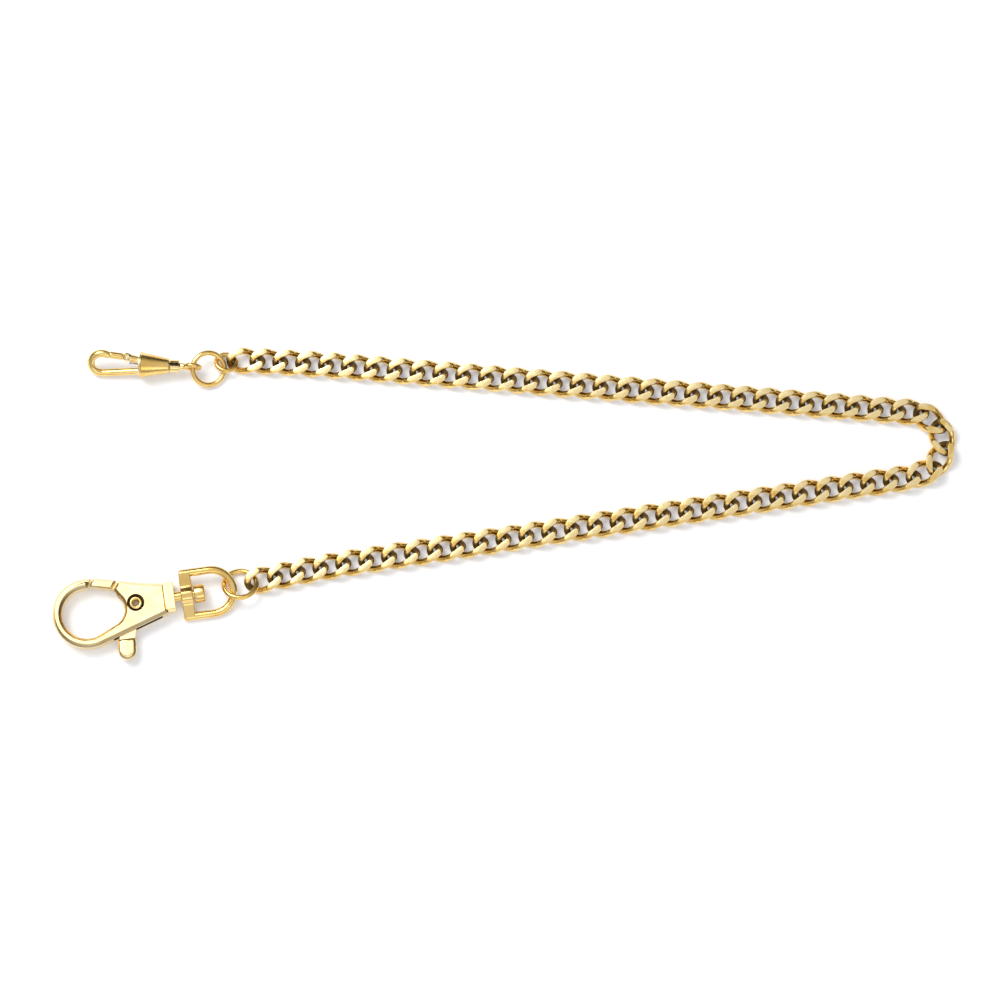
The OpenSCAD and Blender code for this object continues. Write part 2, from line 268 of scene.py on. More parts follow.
def combined(base, steps):
    """base with meshes joined to it or cut from it; each step is (operation, mesh, material)."""
    body = bpy.data.objects.new("work", base)
    bpy.context.scene.collection.objects.link(body)
    tools = []
    for operation, mesh, material in steps:
        if material is not None:
            mesh.materials.append(material)
        tool = bpy.data.objects.new("tool", mesh)
        bpy.context.scene.collection.objects.link(tool)
        tools.append(tool)
        cut = body.modifiers.new("cut", "BOOLEAN")
        cut.object = tool
        cut.operation = operation
        cut.solver = "EXACT"
        cut.material_mode = "TRANSFER"
    bpy.context.view_layer.update()
    graph = bpy.context.evaluated_depsgraph_get()
    made = bpy.data.meshes.new_from_object(body.evaluated_get(graph))
    for used in [body, *tools]:
        bpy.data.objects.remove(used)
    return made


def softened(mesh, width, angle=40, segments=2):
    """The mesh with its sharp edges rounded by width millimetres."""
    body = bpy.data.objects.new("work", mesh)
    bpy.context.scene.collection.objects.link(body)
    edge = body.modifiers.new("edge", "BEVEL")
    edge.width = width
    edge.segments = segments
    edge.limit_method = "ANGLE"
    edge.angle_limit = math.radians(angle)
    edge.use_clamp_overlap = True
    edge.miter_outer = "MITER_ARC"
    bpy.context.view_layer.update()
    graph = bpy.context.evaluated_depsgraph_get()
    made = bpy.data.meshes.new_from_object(body.evaluated_get(graph))
    bpy.data.objects.remove(body)
    return made


def evenly_lit(mesh):
    """The mesh with its normals weighted by face area, so a flat face stays flat right up to its bevel."""
    body = bpy.data.objects.new("work", mesh)
    bpy.context.scene.collection.objects.link(body)
    even = body.modifiers.new("even", "WEIGHTED_NORMAL")
    even.keep_sharp = True
    even.weight = 100
    bpy.context.view_layer.update()
    graph = bpy.context.evaluated_depsgraph_get()
    made = bpy.data.meshes.new_from_object(body.evaluated_get(graph))
    bpy.data.objects.remove(body)
    bpy.data.meshes.remove(mesh)
    return made


def show(name, mesh, place, body, nodes, material, flats=False):
    """Puts a mesh in the scene: its place, its body, the CAD nodes it stands for and its finish."""
    mesh.transform(place @ Matrix.Scale(MM, 4))
    if material is not None:
        if mesh.materials:
            mesh.materials[0] = material
        else:
            mesh.materials.append(material)
    for face in mesh.polygons:
        face.use_smooth = True
    mesh.set_sharp_from_angle(angle=SHARP_ANGLE)
    if flats:
        mesh = evenly_lit(mesh)
    mesh.name = name
    piece = bpy.data.objects.new(name, mesh)
    bpy.context.scene.collection.objects.link(piece)
    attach(piece, body)
    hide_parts(*nodes)
    return piece


# ---------- materials ----------


def new_material(name):
    material = bpy.data.materials.new(name)
    material.use_nodes = True
    shader = material.node_tree.nodes["Principled BSDF"]
    return material, material.node_tree, shader


def noise(tree, scale, detail, source):
    node = tree.nodes.new("ShaderNodeTexNoise")
    node.inputs["Scale"].default_value = scale
    node.inputs["Detail"].default_value = detail
    tree.links.new(source, node.inputs["Vector"])
    return node.outputs["Fac"]


def ramp(tree, source, stops):
    node = tree.nodes.new("ShaderNodeValToRGB")
    elements = node.color_ramp.elements
    elements[0].position, elements[0].color = stops[0][0], (*stops[0][1], 1)
    elements[1].position, elements[1].color = stops[-1][0], (*stops[-1][1], 1)
    for position, colour in stops[1:-1]:
        elements.new(position).color = (*colour, 1)
    tree.links.new(source, node.inputs["Fac"])
    return node.outputs["Color"]


def mixed(tree, factor, one, two):
    node = tree.nodes.new("ShaderNodeMix")
    node.data_type = "RGBA"
    for source, socket in ((factor, node.inputs[0]), (one, node.inputs[6]), (two, node.inputs[7])):
        if isinstance(source, bpy.types.NodeSocket):
            tree.links.new(source, socket)
        elif isinstance(source, tuple):
            socket.default_value = (*source, 1)
        else:
            socket.default_value = source
    return node.outputs[2]


def spread(tree, source, low, high):
    """A 0 to 1 value stretched to run from low to high."""
    node = tree.nodes.new("ShaderNodeMapRange")
    node.inputs["To Min"].default_value = low
    node.inputs["To Max"].default_value = high
    tree.links.new(source, node.inputs["Value"])
    return node.outputs["Result"]


# painted shade: a near-black brown mixed into the chain's gold where the links cross
CREVICE_SHADE = (0.13, 0.075, 0.015)


def spread_from(tree, source, low, high):
    """A value that runs from low to high, stretched to run from 0 to 1."""
    node = tree.nodes.new("ShaderNodeMapRange")
    node.inputs["From Min"].default_value = low
    node.inputs["From Max"].default_value = high
    tree.links.new(source, node.inputs["Value"])
    return node.outputs["Result"]


def gold_plate(name, deep, bright, worn, rough, ripple):
    """Polished gold plate: the colour drifts, edges rub paler, and the polish is uneven."""
    material, tree, shader = new_material(name)
    place = tree.nodes.new("ShaderNodeTexCoord").outputs["Object"]
    body = tree.nodes.new("ShaderNodeObjectInfo").outputs["Random"]
    drift = noise(tree, 260, 3, place)
    colour = ramp(tree, drift, [(0.35, deep), (0.65, bright)])
    colour = mixed(tree, spread(tree, body, 0.0, 0.22), colour, deep)
    edge = tree.nodes.new("ShaderNodeNewGeometry").outputs["Pointiness"]
    rubbed = ramp(tree, edge, [(0.53, (0, 0, 0)), (0.62, (1, 1, 1))])
    colour = mixed(tree, rubbed, colour, worn)
    # painted shade: the crevice mask mixes dark brown into the colour where links cross, and raises the
    # roughness there
    shade_mask = tree.nodes.new("ShaderNodeAttribute")
    shade_mask.attribute_name = "crevice_painted_shade"
    colour = mixed(tree, shade_mask.outputs["Fac"], colour, CREVICE_SHADE)
    tree.links.new(colour, shader.inputs["Base Color"])
    shader.inputs["Metallic"].default_value = 1
    polish = noise(tree, 900, 4, place)
    finish = tree.nodes.new("ShaderNodeMath")
    finish.operation = "MULTIPLY_ADD"
    finish.inputs[1].default_value = 0.3
    tree.links.new(shade_mask.outputs["Fac"], finish.inputs[0])
    tree.links.new(spread(tree, polish, rough * 0.75, rough * 1.35), finish.inputs[2])
    tree.links.new(finish.outputs["Value"], shader.inputs["Roughness"])
    # slow ripple left by casting and tumbling, with fine scuffs on it
    wave = noise(tree, 700, 2, place)
    scuff = noise(tree, 9000, 3, place)
    slow = tree.nodes.new("ShaderNodeBump")
    slow.inputs["Strength"].default_value = ripple
    slow.inputs["Distance"].default_value = 0.00012
    tree.links.new(wave, slow.inputs["Height"])
    fine = tree.nodes.new("ShaderNodeBump")
    fine.inputs["Strength"].default_value = 0.25
    fine.inputs["Distance"].default_value = 0.00001
    tree.links.new(scuff, fine.inputs["Height"])
    tree.links.new(slow.outputs["Normal"], fine.inputs["Normal"])
    tree.links.new(fine.outputs["Normal"], shader.inputs["Normal"])
    return material


def painted_recess_shade():
    """Painted shade for recesses: a mottled near-black metal put on every cut face, so holes, wells and
    slots look dark.
    """
    material, tree, shader = new_material("recess_painted_shade")
    place = tree.nodes.new("ShaderNodeTexCoord").outputs["Object"]
    mottle = noise(tree, 1500, 4, place)
    colour = ramp(tree, mottle, [(0.3, (0.035, 0.024, 0.012)), (0.7, (0.11, 0.075, 0.03))])
    tree.links.new(colour, shader.inputs["Base Color"])
    shader.inputs["Metallic"].default_value = 0.85
    tree.links.new(spread(tree, mottle, 0.35, 0.6), shader.inputs["Roughness"])
    return material


def spring_steel():
    """Blue-grey drawn strip with lengthwise streaks."""
    material, tree, shader = new_material("spring_steel")
    place = tree.nodes.new("ShaderNodeTexCoord").outputs["Object"]
    streak = noise(tree, 4000, 2, place)
    colour = ramp(tree, streak, [(0.3, (0.42, 0.43, 0.45)), (0.7, (0.62, 0.63, 0.65))])
    tree.links.new(colour, shader.inputs["Base Color"])
    shader.inputs["Metallic"].default_value = 1
    tree.links.new(spread(tree, streak, 0.22, 0.4), shader.inputs["Roughness"])
    return material


CHAIN_GOLD = gold_plate(
    "chain_gold",
    deep=(0.82, 0.53, 0.15),
    bright=(0.95, 0.70, 0.28),
    worn=(1.0, 0.80, 0.42),
    rough=0.24,
    ripple=0.35,
)
PALE_GOLD = gold_plate(
    "pale_gold",
    deep=(0.95, 0.71, 0.34),
    bright=(0.99, 0.82, 0.48),
    worn=(1.0, 0.82, 0.46),
    rough=0.17,
    ripple=0.06,
)
# painted shade: the near-black finish that the cutters leave on the faces of every hole, well and slot
RECESS_SHADE = painted_recess_shade()
STEEL = spring_steel()


# ---------- curb links ----------


def turning_arc(p, t, q, steps):
    """Points on the arc that leaves p in direction t and reaches q."""
    v = q - p
    n = (v - v.dot(t) * t).normalized()
    r = v.dot(v) / (2 * v.dot(n))
    swing = math.atan2(v.dot(t), r - v.dot(n))
    turns = [swing * k / steps for k in range(steps + 1)]
    return [p + r * (1 - math.cos(a)) * n + r * math.sin(a) * t for a in turns]


def link_path(steps):
    """The closed centre line of a twisted link: each quarter is two arcs that meet smoothly."""
    end = Vector((HALF_LEN, 0, 0))
    end_way = Vector((0, math.cos(math.radians(END_TILT)), -math.sin(math.radians(END_TILT))))
    side = Vector((0, HALF_WID, 0))
    side_way = Vector((-math.cos(math.radians(SIDE_TILT)), 0, math.sin(math.radians(SIDE_TILT))))
    span = side - end
    a = 2 * (end_way.dot(side_way) - 1)
    b = -2 * span.dot(end_way + side_way)
    leg = (-b - math.sqrt(b * b - 4 * a * span.dot(span))) / (2 * a)
    meet = (end + leg * end_way + side - leg * side_way) / 2
    quarter = turning_arc(end, end_way, meet, steps) + turning_arc(side, -side_way, meet, steps)[::-1][1:]
    other = [Vector((-p.x, p.y, -p.z)) for p in quarter][::-1][1:]
    half = quarter + other
    back = [Vector((p.x, -p.y, -p.z)) for p in half][::-1][1:-1]
    return half + back


def eased(value, low, high):
    """0 below low, 1 above high, smooth between."""
    f = min(max((value - low) / (high - low), 0), 1)
    return f * f * (3 - 2 * f)


def with_painted_crevice_shade(mesh):
    """Marks where shade is painted into the gold: near the crossing, below the filed flats."""
    shade_mask = mesh.color_attributes.new("crevice_painted_shade", "FLOAT_COLOR", "POINT")
    for vertex, cell in zip(mesh.vertices, shade_mask.data):
        x, y, z = (abs(c) for c in vertex.co)
        painted_shade = 0.95 * eased(x, 0.9, 1.9) * (1 - eased(y, 1.2, 1.9)) * (1 - eased(z, 0.7, 1.1))
        cell.color = (painted_shade, painted_shade, painted_shade, 1)
    return mesh


def link_mesh():
    """One link: round wire, filed flat above and below, the filed edges rubbed soft."""
    bm = bmesh.new()
    sweep(bm, link_path(18), WIRE_D / 2, 28, closed=True)
    for side in (1, -1):
        cut = bmesh.ops.bisect_plane(
            bm,
            geom=bm.verts[:] + bm.edges[:] + bm.faces[:],
            dist=1e-5,
            plane_co=(0, 0, side * FLAT_T / 2),
            plane_no=(0, 0, side),
            clear_outer=True,
        )
        rim = [e for e in cut["geom_cut"] if isinstance(e, bmesh.types.BMEdge)]
        bmesh.ops.edgeloop_fill(bm, edges=rim)
    bmesh.ops.dissolve_degenerate(bm, dist=1e-4, edges=bm.edges)
    bmesh.ops.recalc_face_normals(bm, faces=bm.faces)
    flat = [f for f in bm.faces if abs(f.normal.z) > 0.999 and len(f.verts) > 8]
    rims = {e for f in flat for e in f.edges}
    bmesh.ops.bevel(
        bm, geom=list(rims), offset=0.17, segments=3, profile=0.5, affect="EDGES", clamp_overlap=True
    )
    mesh = bpy.data.meshes.new("link")
    bm.to_mesh(mesh)
    bm.free()
    return with_painted_crevice_shade(mesh)


def body_with(node):
    return next(name for name, nodes in frame["record"]["behaviour"]["bodies"].items() if node in nodes)


def link_node(number):
    """The CAD node that holds link number: its own, or the one it shares with a neighbour."""
    for node in frame["nodes"]:
        parts = node.split("_")
        if parts[0] in ("link", "links") and f"{number:02d}" in parts[1:]:
            return node
    return None


def build_links():
    first = link_mesh()
    for i, place in enumerate(link_frames()):
        number = i + 1
        node = link_node(number)
        name = f"curb_link_{number:02d}"
        show(name, first.copy(), place, body_with(node), [node], CHAIN_GOLD)


build_links()

# ---------- jump rings ----------


def open_ring(bm, radius, wire, seam):
    """A bent wire ring whose two ends nearly meet at seam degrees."""
    gap = 0.7
    steps = 140
    points = []
    for k in range(steps + 1):
        a = math.radians(seam + gap / 2 + (360 - gap) * k / steps)
        points.append(Vector((radius * math.cos(a), radius * math.sin(a), 0)))
    sweep(bm, points, wire / 2, 32)


def build_rings():
    rings = [
        ("clasp_jump_ring", "clasp_ring", RING_R, RING_WIRE, laid(CLASP_RING_AT, 24.4, -90), 62),
        ("clip_jump_ring", "clip_ring", RING_R, RING_WIRE, laid(CLIP_RING_AT, 22.3, 129), 265),
        ("end_jump_ring", "clip_end_link", END_RING_R, END_RING_WIRE, laid(END_RING_AT, -24.2, 73), 100),
    ]
    for name, node, radius, wire, place, seam in rings:
        mesh = solid(open_ring, radius, wire, seam)
        show(name, mesh, place, body_with(node), [node], CHAIN_GOLD)


build_rings()

# ---------- trigger snap ----------

LOOP_AT = (-10, -0.75)
HOOK_IN_R = 5.2
HOOK_OUT_R = 7.1
SLOT_T = 1.5
WELL_R = 1.78
WELL_DEPTH = 0.95
RIVET_BORE = 1.1
PIN_BORE = 1.03
THROAT_AT = (-5.95, -0.6)
THROAT_R = 3.6
NECK_TOP = (6.3, 3.25)
NECK_LOW = (6.3, -2.89)
SHOULDER = (-2.9, 5.0)


def snap_outline():
    """The snap's body from above: neck, shoulder, throat, then round the hook to its tip and back."""
    shoulder = [Vector(p) for p in (NECK_TOP, (4.2, 3.5), (1.5, 3.98), SHOULDER, (-4.2, 3.4), (-3.5, 2.1))]
    throat = arc(THROAT_AT, THROAT_R, 38, -64, 20)
    inner = arc(LOOP_AT, HOOK_IN_R, -66, -276.5, 72)
    outer = arc(LOOP_AT, HOOK_OUT_R, 77, 288, 76)
    return shoulder + throat + inner + outer + [Vector(NECK_LOW)]


def slot_cutter(bm):
    """The thin space that the trigger plate swings in."""
    outline = [Vector(p) for p in (
        (9, -6), (9, -9.5), (-7.2, -9.5), (-4.4, -5.2), (-2.7, -2.8), (-3.0, -1.4), (-3.3, 0),
        (-9.5, -0.5), (-8, 7), (-1.5, 7), (1.2, 3.07), (3.3, 0), (2.75, -1.83)
    )][::-1]
    low = [bm.verts.new((p.x, p.y, AXIS_Z - SLOT_T / 2)) for p in outline]
    high = [bm.verts.new((p.x, p.y, AXIS_Z + SLOT_T / 2)) for p in outline]
    for k in range(len(outline)):
        j = (k + 1) % len(outline)
        bm.faces.new((low[k], low[j], high[j], high[k]))
    bm.faces.new(low[::-1])
    bm.faces.new(high)


def collar_solid(bm):
    """The snap's neck collar: a round bar filed flat above and below, bulging a little at its middle."""
    half = 1.7
    radius = 3.15
    lean = math.degrees(math.asin(half / radius))
    section = arc((0, 0), radius, -lean, lean, 10) + arc((0, 0), radius, 180 - lean, 180 + lean, 10)
    section = rounded([tuple(p) for p in section], 0.05, 1)
    near, far = [(6.0, 0.97), (6.08, 0.99), (6.2, 1.0)], [(7.78, 1.0), (7.87, 0.985), (7.9, 0.96)]
    stations = near + [(7.0, 1.015)] + far
    rings = []
    for x, size in stations:
        rings.append([bm.verts.new((x, AXIS_Y + p.x * size, AXIS_Z + p.y)) for p in section])
    for one, two in zip(rings, rings[1:]):
        for k in range(len(section)):
            j = (k + 1) % len(section)
            bm.faces.new((one[k], one[j], two[j], two[k]))
    bm.faces.new(rings[0][::-1])
    bm.faces.new(rings[-1])


def cylinder_z(bm, at, radius, low, high, sides=64):
    lathe(bm, [(low, 0), (low, radius), (high, radius), (high, 0)], sides, axis="Z")
    bmesh.ops.translate(bm, verts=bm.verts, vec=(at[0], at[1], 0))


def cylinder_x(bm, low, high, radius, y=0.0, z=0.0):
    lathe(bm, [(low, 0), (low, radius), (high, radius), (high, 0)], 48, axis="X")
    bmesh.ops.translate(bm, verts=bm.verts, vec=(0, y, z))


def build_snap_body():
    low = AXIS_Z - BODY_T / 2
    high = AXIS_Z + BODY_T / 2
    base = solid(plate, snap_outline(), low, high, 0.62, 0.1)
    base.materials.append(PALE_GOLD)
    mesh = combined(base, [
        ("UNION", solid(collar_solid), PALE_GOLD),
        ("DIFFERENCE", solid(slot_cutter), RECESS_SHADE),
        ("DIFFERENCE", solid(cylinder_z, (0, 0), WELL_R, high - WELL_DEPTH, high + 1), RECESS_SHADE),
        ("DIFFERENCE", solid(cylinder_z, (0, 0), WELL_R, low - 1, low + WELL_DEPTH), RECESS_SHADE),
        ("DIFFERENCE", solid(cylinder_z, (0, 0), RIVET_BORE, low - 1, high + 1), RECESS_SHADE),
        ("DIFFERENCE", solid(cylinder_x, 4.6, 9, PIN_BORE, AXIS_Y, AXIS_Z), RECESS_SHADE),
    ])
    mesh = softened(mesh, 0.05, angle=50)
    show("snap_body", mesh, CLASP, "clasp_body", ["clasp_body"], None, flats=True)


TRIGGER_T = 1.2
GATE_T = 3.0
TAB_T = 2.2


def trigger_plate(bm):
    outline = [Vector(p) for p in (
        (-2.2, -1.2), (-2.4, -2.8), (-4.05, -5.3), (-4.4, -8.2), (-1.3, -8.2), (-0.45, -4.5), (0.7, -2.45)
    )]
    outline += arc((0, 0), 2.58, -68, 92, 24)
    lever = ((-3.5, 4.9), (-8.0, 5.8), (-8.3, 5.0), (-4.7, 3.9), (-2.45, 0.9), (-2.55, -0.2))
    outline += [Vector(p) for p in lever]
    plate(bm, outline, AXIS_Z - TRIGGER_T / 2, AXIS_Z + TRIGGER_T / 2, 0.05, 0.02)


def gate_bar(bm):
    corners = [(-7.95, 6.25), (-8.66, 5.36), (-8.9, 4.6), (-4.55, 3.55), (-3.4, 5.15)]
    outline = rounded(corners, [0.15, 0.2, 0.1, 0.1, 0.1], 2)
    plate(bm, outline, AXIS_Z - GATE_T / 2, AXIS_Z + GATE_T / 2, 0.32, 0.06)


def thumb_tab(bm):
    outline = arc((-2.93, -9.3), 1.9, 178, 362, 28)
    outline += [Vector(p) for p in ((-0.93, -8.2), (-0.95, -6.9), (-4.55, -6.9), (-4.72, -8.2))]
    plate(bm, outline, AXIS_Z - TAB_T / 2, AXIS_Z + TAB_T / 2, 0.5, 0.34)


def build_trigger():
    base = solid(gate_bar)
    mesh = combined(base, [
        ("UNION", solid(trigger_plate), PALE_GOLD),
        ("UNION", solid(thumb_tab), PALE_GOLD),
        ("DIFFERENCE", solid(cylinder_z, (0, 0), 1.2, -1, 6), RECESS_SHADE),
    ])
    trigger = "clasp_trigger"
    show("snap_trigger", mesh, CLASP, trigger, [trigger], PALE_GOLD, flats=True)


def build_rivet():
    """A tube with its ends rolled out into round lips."""
    low = AXIS_Z - BODY_T / 2 + 0.1
    high = AXIS_Z + BODY_T / 2 - 0.1
    hole = 0.62
    shank = 1.05
    lip_at = 0.98
    lip_r = 0.36

    def rivet(bm):
        top = [(high - lip_r + lip_r * math.sin(a), lip_at + (lip_r + 0.02) * math.cos(a))
               for a in [math.radians(-50 + 230 * k / 16) for k in range(17)]]
        low_lip = [(low + high - z, r) for z, r in reversed(top)]
        profile = [(low + 1, hole), (high - 1, hole)] + top[::-1] + [(high - 1, shank), (low + 1, shank)]
        profile += low_lip[::-1]
        lathe(bm, profile + [(low + 1, hole)], 64, axis="Z")

    show("snap_rivet", solid(rivet), CLASP, "clasp_body", ["clasp_rivet"], CHAIN_GOLD)


def build_swivel_pin():
    def pin(bm):
        shaft = [(4.7, 0), (4.7, 0.95), (4.75, 1.0), (11.9, 1.0), (11.96, 1.05)]
        head = [(11.96, 1.72), (12.0, 1.79), (12.12, 1.85), (13.75, 1.85), (13.9, 1.82), (14.02, 1.73)]
        lathe(bm, shaft + head + [(14.09, 1.58), (14.1, 1.4), (14.1, 0)], 64)

    show("swivel_pin", solid(pin), CLASP_AXIS, "clasp_body", ["clasp_swivel_pin"], CHAIN_GOLD)


EYE_BAR = (9.25, 11.65)
EYE_BORE = 1.15
EYE_HALF = 4.45
EYE_BEND_X = 15.45
EYE_WIRE = 1.6


def eye_bar(bm):
    """The crossbar: a strip that swells round the pin."""
    sides = 30
    rings = []
    for k in range(sides + 1):
        y = EYE_HALF * (2 * k / sides - 1)
        swell = math.exp(-(y / 1.35) ** 4)
        half_z = 0.84 + 1.1 * swell
        tuck = 0.12 * (abs(y) / EYE_HALF) ** 6
        x0 = EYE_BAR[0] + tuck
        x1 = EYE_BAR[1] - tuck
        section = rounded([(x0, -half_z), (x1, -half_z), (x1, half_z), (x0, half_z)], 0.24, 4)
        rings.append([bm.verts.new((p.x, y, p.y)) for p in section])
    for one, two in zip(rings, rings[1:]):
        for k in range(len(one)):
            j = (k + 1) % len(one)
            bm.faces.new((one[k], two[k], two[j], one[j]))
    bm.faces.new(rings[0])
    bm.faces.new(rings[-1][::-1])


def eye_bail(bm):
    """The bail: wire from one end of the crossbar round to the other."""
    start = EYE_BAR[0] + 0.35
    upper = [Vector((start + (EYE_BEND_X - start) * k / 14, EYE_HALF, 0)) for k in range(14)]
    bend = [Vector((EYE_BEND_X + EYE_HALF * math.cos(a), EYE_HALF * math.sin(a), 0))
            for a in [math.radians(90 - 180 * k / 48) for k in range(49)]]
    lower = [Vector((p.x, -p.y, 0)) for p in reversed(upper)]
    sweep(bm, upper + bend + lower, EYE_WIRE / 2, 32, up=lambda i, p: Vector((0, 0, 1)))


def build_swivel_eye():
    mesh = combined(solid(eye_bar), [
        ("UNION", solid(eye_bail), CHAIN_GOLD),
        ("DIFFERENCE", solid(cylinder_x, 8, 13, EYE_BORE), RECESS_SHADE),
    ])
    show("swivel_eye", mesh, SWIVEL_EYE, "clasp_swivel_eye", ["clasp_swivel_eye"], CHAIN_GOLD)


build_snap_body()
build_trigger()
build_rivet()
build_swivel_pin()
build_swivel_eye()

# ---------- watch swivel ----------

MOUTH_X = -10.75
FERRULE_END = -4.7
BOW_END_X = -18.47
BOW_R = 2.35
BOW_WIRE = 1.55
GATE_PIVOT = (-13.4, 1.72)
GATE_WIRE_R = 0.7
TONGUE = 0.3
FORK = 0.4
GATE_PIN_R = 0.3
ARM_SLOPE = 6.2
BOW_TIP = 58


def box(bm, low, high):
    """A plain block between two corners."""
    made = bmesh.ops.create_cube(bm, size=1)
    middle = [(a + b) / 2 for a, b in zip(low, high)]
    size = [b - a for a, b in zip(low, high)]
    bmesh.ops.scale(bm, verts=made["verts"], vec=size)
    bmesh.ops.translate(bm, verts=made["verts"], vec=middle)


def straight(a, b, steps=10):
    """Points from a to b in the plane z = 0."""
    a, b = Vector((*a, 0)), Vector((*b, 0))
    return [a.lerp(b, k / steps) for k in range(steps + 1)]


def wire_between(bm, a, b, radius):
    sweep(bm, straight(a, b), radius, 28, up=lambda i, p: Vector((0, 0, 1)))


def bow_wire(bm):
    """The long arm from the plug, round the bow's end and back to the tip that the gate meets."""
    start = math.radians(270 + ARM_SLOPE)
    arm_end = (BOW_END_X + BOW_R * math.cos(start), BOW_R * math.sin(start))
    arm = straight((-10.9, -1.54), arm_end, 12)[:-1]
    first = 270 + ARM_SLOPE
    turns = [math.radians(first - (first - BOW_TIP) * k / 56) for k in range(57)]
    bend = [Vector((BOW_END_X + BOW_R * math.cos(a), BOW_R * math.sin(a), 0)) for a in turns]
    sweep(bm, arm + bend, BOW_WIRE / 2, 32, up=lambda i, p: Vector((0, 0, 1)))


def plug(bm):
    lathe(bm, [(-11.05, 0), (-11.05, 1.85), (-11.0, 1.96), (-10.9, 2.0), (-9.4, 2.0), (-9.4, 0)], 48)


def build_bow():
    root = (GATE_PIVOT[0] - 0.1, GATE_PIVOT[1] + 0.01)
    fork_low = (GATE_PIVOT[0] - 1.5, GATE_PIVOT[1] - 1.5, -FORK)
    fork_high = (GATE_PIVOT[0] + 0.8, GATE_PIVOT[1] + 1.5, FORK)
    mesh = combined(solid(bow_wire), [
        ("UNION", solid(plug), CHAIN_GOLD),
        ("UNION", solid(wire_between, root, (-10.85, 1.1), GATE_WIRE_R + 0.01), CHAIN_GOLD),
        ("UNION", solid(cylinder_z, GATE_PIVOT, 0.66, -0.72, 0.72, 40), CHAIN_GOLD),
        ("DIFFERENCE", solid(box, fork_low, fork_high), RECESS_SHADE),
    ])
    mesh = softened(mesh, 0.05, angle=45)
    show("swivel_bow", mesh, BOW, body_with("clip_hook"), ["clip_hook"], CHAIN_GOLD)


def build_gate():
    """The gate: a short wire with a thin tongue hinged in the fork."""
    mesh = combined(solid(wire_between, (-16.75, 2.1), (-14.45, 1.84), GATE_WIRE_R), [
        ("UNION", solid(box, (-14.9, 1.3, -TONGUE), (-13.35, 2.28, TONGUE)), CHAIN_GOLD),
        ("UNION", solid(cylinder_z, GATE_PIVOT, 0.6, -TONGUE, TONGUE, 40), CHAIN_GOLD),
        ("DIFFERENCE", solid(cylinder_z, GATE_PIVOT, GATE_PIN_R + 0.06, -2, 2, 32), RECESS_SHADE),
    ])
    mesh = softened(mesh, 0.06, angle=45)
    show("swivel_gate", mesh, BOW, body_with("clip_gate"), ["clip_gate"], CHAIN_GOLD)


def build_gate_pin():
    """A pin with both ends peened to a low dome."""
    def pin(bm):
        head = [(0.8, 0), (0.8, 0.12), (0.79, 0.2), (0.76, 0.27), (0.71, GATE_PIN_R)]
        lathe(bm, [(-x, r) for x, r in head] + head[::-1], 32, axis="Z")
        bmesh.ops.translate(bm, verts=bm.verts, vec=(*GATE_PIVOT, 0))

    node = "clip_gate_pin"
    show("gate_pin", solid(pin), BOW, body_with(node), [node], PALE_GOLD)


def build_ferrule():
    """A tapered sleeve spun from sheet: a rolled rim at its mouth, a soft shoulder at its small end."""
    def sleeve(bm):
        rim = [(MOUTH_X + 0.2 + 0.2 * math.cos(a), 2.5 + 0.2 * math.sin(a))
               for a in [math.radians(215 - 180 * k / 10) for k in range(11)]]
        first, last = MOUTH_X + 0.48, FERRULE_END - 0.2
        cone = [(first + (last - first) * k / 12, 2.57 - 1.07 * k / 12) for k in range(13)]
        end = FERRULE_END
        shoulder = [(end - 0.1, 1.47), (end - 0.03, 1.41), (end, 1.3), (end, 0.92)]
        bore = [(-7.55, 0.92), (-7.55, 1.3), (-9.35, 1.3), (-9.35, 2.04), (MOUTH_X + 0.15, 2.04)]
        ring = rim + cone + shoulder + bore
        lathe(bm, ring + ring[:1], 96)

    node = "clip_ferrule"
    show("swivel_ferrule", solid(sleeve), CLIP, body_with(node), [node], CHAIN_GOLD)


def build_clip_eye():
    """The swivel's eye: a small ring on a shank, with a slotted collar against the ferrule."""
    def eye_ring(bm):
        points = [Vector((1.45 * math.cos(a), 0, 1.45 * math.sin(a)))
                  for a in [2 * math.pi * k / 64 for k in range(64)]]
        sweep(bm, points, 0.5, 28, closed=True)

    def shank(bm):
        head = [(-9.1, 0), (-9.1, 1.0), (-9.0, 1.1), (-7.8, 1.1), (-7.7, 1.0), (-7.7, 0.75)]
        collar = [(-4.55, 0.75), (-4.55, 1.22), (-4.45, 1.32), (-2.8, 1.32), (-2.7, 1.22), (-2.7, 0.75)]
        lathe(bm, head + collar + [(-1.4, 0.72), (-1.4, 0)], 56)

    mesh = combined(solid(shank), [
        ("UNION", solid(eye_ring), CHAIN_GOLD),
        ("DIFFERENCE", solid(box, (-4.62, -0.3, 0.45), (-2.4, 0.42, 1.7)), RECESS_SHADE),
    ])
    mesh = softened(mesh, 0.04, angle=50)
    node = "clip_swivel_eye"
    show("swivel_clip_eye", mesh, CLIP, body_with(node), [node], CHAIN_GOLD)


build_bow()
build_gate()
build_gate_pin()
build_ferrule()
build_clip_eye()

# ---------- the leaf springs keep their CAD shape ----------

for node, piece in frame["nodes"].items():
    if piece.hide_render:
        continue
    finish = STEEL if node.endswith("spring") else CHAIN_GOLD
    piece.data.materials.clear()
    piece.data.materials.append(finish)

# ---------- floor, light and camera ----------


